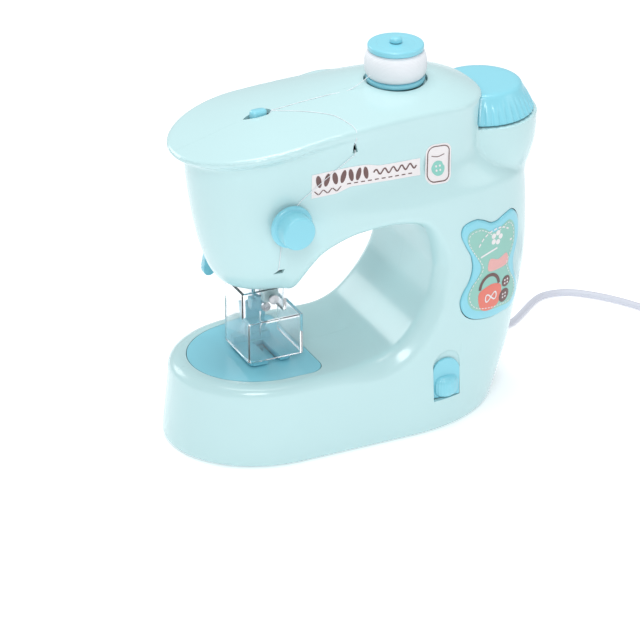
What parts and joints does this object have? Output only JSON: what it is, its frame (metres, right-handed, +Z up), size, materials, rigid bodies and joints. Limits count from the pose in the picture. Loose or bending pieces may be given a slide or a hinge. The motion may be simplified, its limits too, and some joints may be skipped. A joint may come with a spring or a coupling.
{
  "type": "sewing machine",
  "caption": "Small two-shell electric sewing machine with an arm over a rounded bed, top spool, side hand wheel, clear needle guard and thin low-voltage lead.",
  "frame": {"origin": "under the middle of the machine on the surface it stands on, measured without the lead", "axes": "+X from the needle towards the column and hand wheel, +Y to the rear, +Z up; the front with the knob and the slide switch faces -Y"},
  "size_m": [0.3378, 0.1059, 0.1905],
  "materials": {
    "mint_shell": "glossy moulded ABS, pale mint",
    "blue_plastic": "satin moulded ABS, light blue",
    "clear_plastic": "clear polystyrene, polished",
    "thread": "wound white polyester thread",
    "lead": "soft PVC, pale grey",
    "steel": "plain steel, turned or pressed",
    "chrome": "bright nickel plate",
    "brass": "plain brass",
    "nylon": "natural nylon",
    "belt_rubber": "black rubber belt",
    "foot_rubber": "pale grey rubber",
    "dark_plastic": "black moulded switch case",
    "board": "green glass-epoxy board"
  },
  "bodies": {
    "machine": {"front_shell": "mint_shell", "rear_shell": "mint_shell", "side_panel": "blue_plastic", "base_plate": "mint_shell", "foot_1": "foot_rubber", "foot_2": "foot_rubber", "foot_3": "foot_rubber", "foot_4": "foot_rubber", "shell_screw_1": "steel", "shell_screw_2": "steel", "needle_plate": "blue_plastic", "lower_bearing_left": "brass", "lower_bearing_right": "brass", "main_bearing_left": "brass", "main_bearing_right": "brass", "motor": "steel", "drive_belt": "belt_rubber", "head_frame": "steel", "presser_spring": "steel", "needle_guard": "clear_plastic", "guard_screw": "steel", "tension_post": "chrome", "tension_spring": "steel", "spool_seat": "mint_shell", "spool_pin": "blue_plastic", "switch_board": "board", "switch_body": "dark_plastic", "bobbin_case": "chrome", "cord_relief": "lead", "cord": "lead", "cord_coil": "lead", "cord_tail": "lead", "usb_plug": "lead"},
    "hand_wheel": {"hand_wheel": "blue_plastic", "wheel_shaft": "steel", "wheel_bevel": "nylon"},
    "main_shaft": {"main_shaft": "steel", "main_pulley": "nylon", "main_gear": "nylon", "shaft_bevel": "nylon", "crank_disc": "steel"},
    "motor_rotor": {"motor_pinion": "brass"},
    "connecting_rod": {"connecting_rod": "nylon"},
    "lower_shaft": {"lower_shaft": "steel", "lower_pulley": "nylon", "hook": "chrome"},
    "needle_bar": {"needle_bar": "chrome", "take_up_nub": "blue_plastic", "needle_clamp": "blue_plastic", "clamp_screw": "steel", "needle": "chrome"},
    "presser_bar": {"presser_bar": "chrome", "presser_foot": "blue_plastic"},
    "presser_lifter": {"presser_lifter": "blue_plastic"},
    "tension_knob": {"tension_knob": "blue_plastic"},
    "power_slide": {"power_slide": "blue_plastic"},
    "spool": {"spool": "blue_plastic", "spool_thread": "thread"},
    "bobbin": {"bobbin": "nylon"},
    "feed_dog": {"feed_dog": "steel"}
  },
  "joints": [
    {"name": "hand_wheel_spin", "type": "hinge", "parent": "machine", "child": "hand_wheel", "pos_m": [0.0684, 0, 0.147], "axis": [0, 0, 1], "continuous": true},
    {"name": "main_shaft_spin", "type": "hinge", "parent": "machine", "child": "main_shaft", "pos_m": [0.0122, 0, 0.134], "axis": [1, 0, 0], "continuous": true},
    {"name": "motor_spin", "type": "hinge", "parent": "machine", "child": "motor_rotor", "pos_m": [0.0368, 0, 0.114], "axis": [1, 0, 0], "continuous": true},
    {"name": "lower_shaft_spin", "type": "hinge", "parent": "machine", "child": "lower_shaft", "pos_m": [-0.0028, 0, 0.021], "axis": [1, 0, 0], "continuous": true},
    {"name": "rod_pivot", "type": "hinge", "parent": "main_shaft", "child": "connecting_rod", "pos_m": [-0.0402, 0, 0.1405], "axis": [1, 0, 0], "continuous": true},
    {"name": "needle_bar_slide", "type": "slide", "parent": "machine", "child": "needle_bar", "axis": [0, 0, 1], "range_m": [-0.013, 0]},
    {"name": "lifter_swing", "type": "hinge", "parent": "machine", "child": "presser_lifter", "pos_m": [-0.0563, 0.029, 0.1], "axis": [0, -1, 0], "range_deg": [0, 65]},
    {"name": "presser_bar_slide", "type": "slide", "parent": "machine", "child": "presser_bar", "axis": [0, 0, 1], "range_m": [0, 0.005], "deforming": ["presser_spring"]},
    {"name": "tension_knob_turn", "type": "hinge", "parent": "machine", "child": "tension_knob", "pos_m": [-0.0461, -0.036, 0.12], "axis": [0, -1, 0], "range_deg": [-150, 150]},
    {"name": "power_slide_travel", "type": "slide", "parent": "machine", "child": "power_slide", "axis": [0, 0, 1], "range_m": [0, 0.004]},
    {"name": "spool_spin", "type": "hinge", "parent": "machine", "child": "spool", "pos_m": [0.0232, 0, 0.17], "axis": [0, 0, 1], "continuous": true},
    {"name": "bobbin_spin", "type": "hinge", "parent": "machine", "child": "bobbin", "pos_m": [-0.0528, 0, 0.021], "axis": [1, 0, 0], "continuous": true},
    {"name": "feed_dog_travel", "type": "slide", "parent": "machine", "child": "feed_dog", "axis": [0, 1, 0], "range_m": [-0.0015, 0.0015]}
  ],
  "couplings": [
    {"joint": "main_shaft_spin", "follows": "hand_wheel_spin", "ratio": 1},
    {"joint": "motor_spin", "follows": "hand_wheel_spin", "ratio": -4},
    {"joint": "lower_shaft_spin", "follows": "hand_wheel_spin", "ratio": 1},
    {"joint": "rod_pivot", "follows": "hand_wheel_spin", "ratio": -1},
    {"joint": "lifter_swing", "follows": "presser_bar_slide", "rad_per_m": 226.89}
  ]
}
